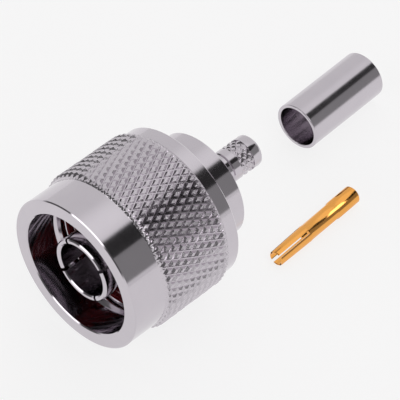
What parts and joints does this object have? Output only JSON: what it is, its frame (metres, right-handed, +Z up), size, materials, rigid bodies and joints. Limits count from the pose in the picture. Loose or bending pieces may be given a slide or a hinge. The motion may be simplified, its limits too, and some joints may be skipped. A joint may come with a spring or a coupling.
{
  "type": "n type coaxial connector",
  "caption": "Coaxial crimp plug with a knurled coupling nut that turns on the body, and its loose crimp ferrule and gold centre contact",
  "frame": {"origin": "on the plug's axis in the mating plane, at the tip of the outer contact", "axes": "+X along the plug's axis from the mating end to the cable end, +Z up, the plug and its loose pieces lie on one surface below"},
  "size_m": [0.0537, 0.0208, 0.0208],
  "materials": {
    "nickel_plate": "brass, bright nickel plated",
    "spring_bronze": "spring bronze, nickel plated, satin",
    "gold_plate": "spring bronze, gold plated, satin",
    "red_silicone": "moulded silicone rubber, dull",
    "white_ptfe": "turned fluoropolymer, waxy"
  },
  "bodies": {
    "root": {"body": "nickel_plate", "snap_ring": "spring_bronze", "outer_contact": "nickel_plate", "gasket": "red_silicone", "insulator": "white_ptfe", "centre_contact": "gold_plate", "crimp_ferrule": "nickel_plate"},
    "nut": {"coupling_nut": "nickel_plate"}
  },
  "joints": [
    {"name": "nut_spin", "type": "hinge", "parent": "root", "child": "nut", "pos_m": [0, 0, 0], "axis": [1, 0, 0], "continuous": true}
  ]
}
